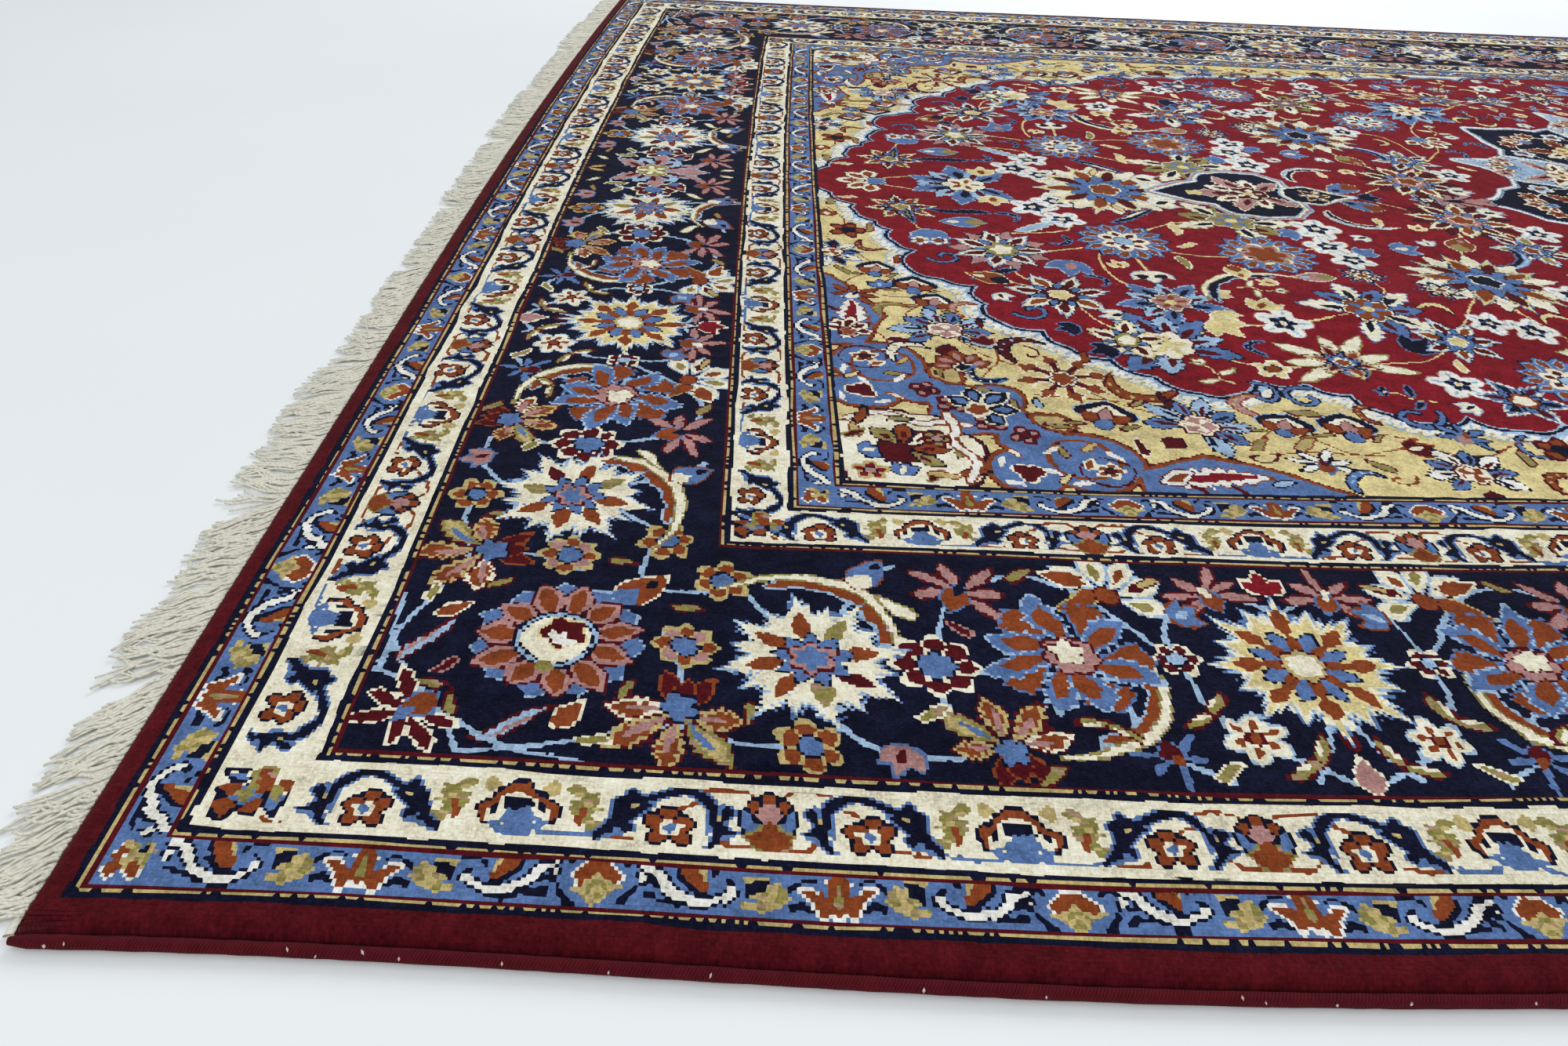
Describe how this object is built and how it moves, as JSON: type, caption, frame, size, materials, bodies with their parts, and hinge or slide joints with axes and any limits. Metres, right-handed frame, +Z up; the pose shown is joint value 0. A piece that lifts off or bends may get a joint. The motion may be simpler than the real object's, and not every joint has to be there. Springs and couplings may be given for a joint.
{
  "type": "persian rug",
  "caption": "Large hand-knotted wool medallion rug lying flat, with overcast long sides and a natural cotton fringe along both short ends.",
  "frame": {"origin": "on the floor, under the middle of the footprint with both fringes", "axes": "+X along the rug's length, +Y across it from the near side to the far side, +Z up"},
  "size_m": [4.1438, 2.5144, 0.0186],
  "materials": {
    "wool_pile": "short cut wool pile, knotted pattern",
    "wool_cord": "dark red wool overcasting",
    "cotton_fringe": "natural undyed cotton warp ends"
  },
  "bodies": {
    "root": {"pile_rug": "wool_pile", "side_cord_near": "wool_cord", "side_cord_far": "wool_cord", "fringe_left": "cotton_fringe", "fringe_right": "cotton_fringe"}
  },
  "joints": []
}
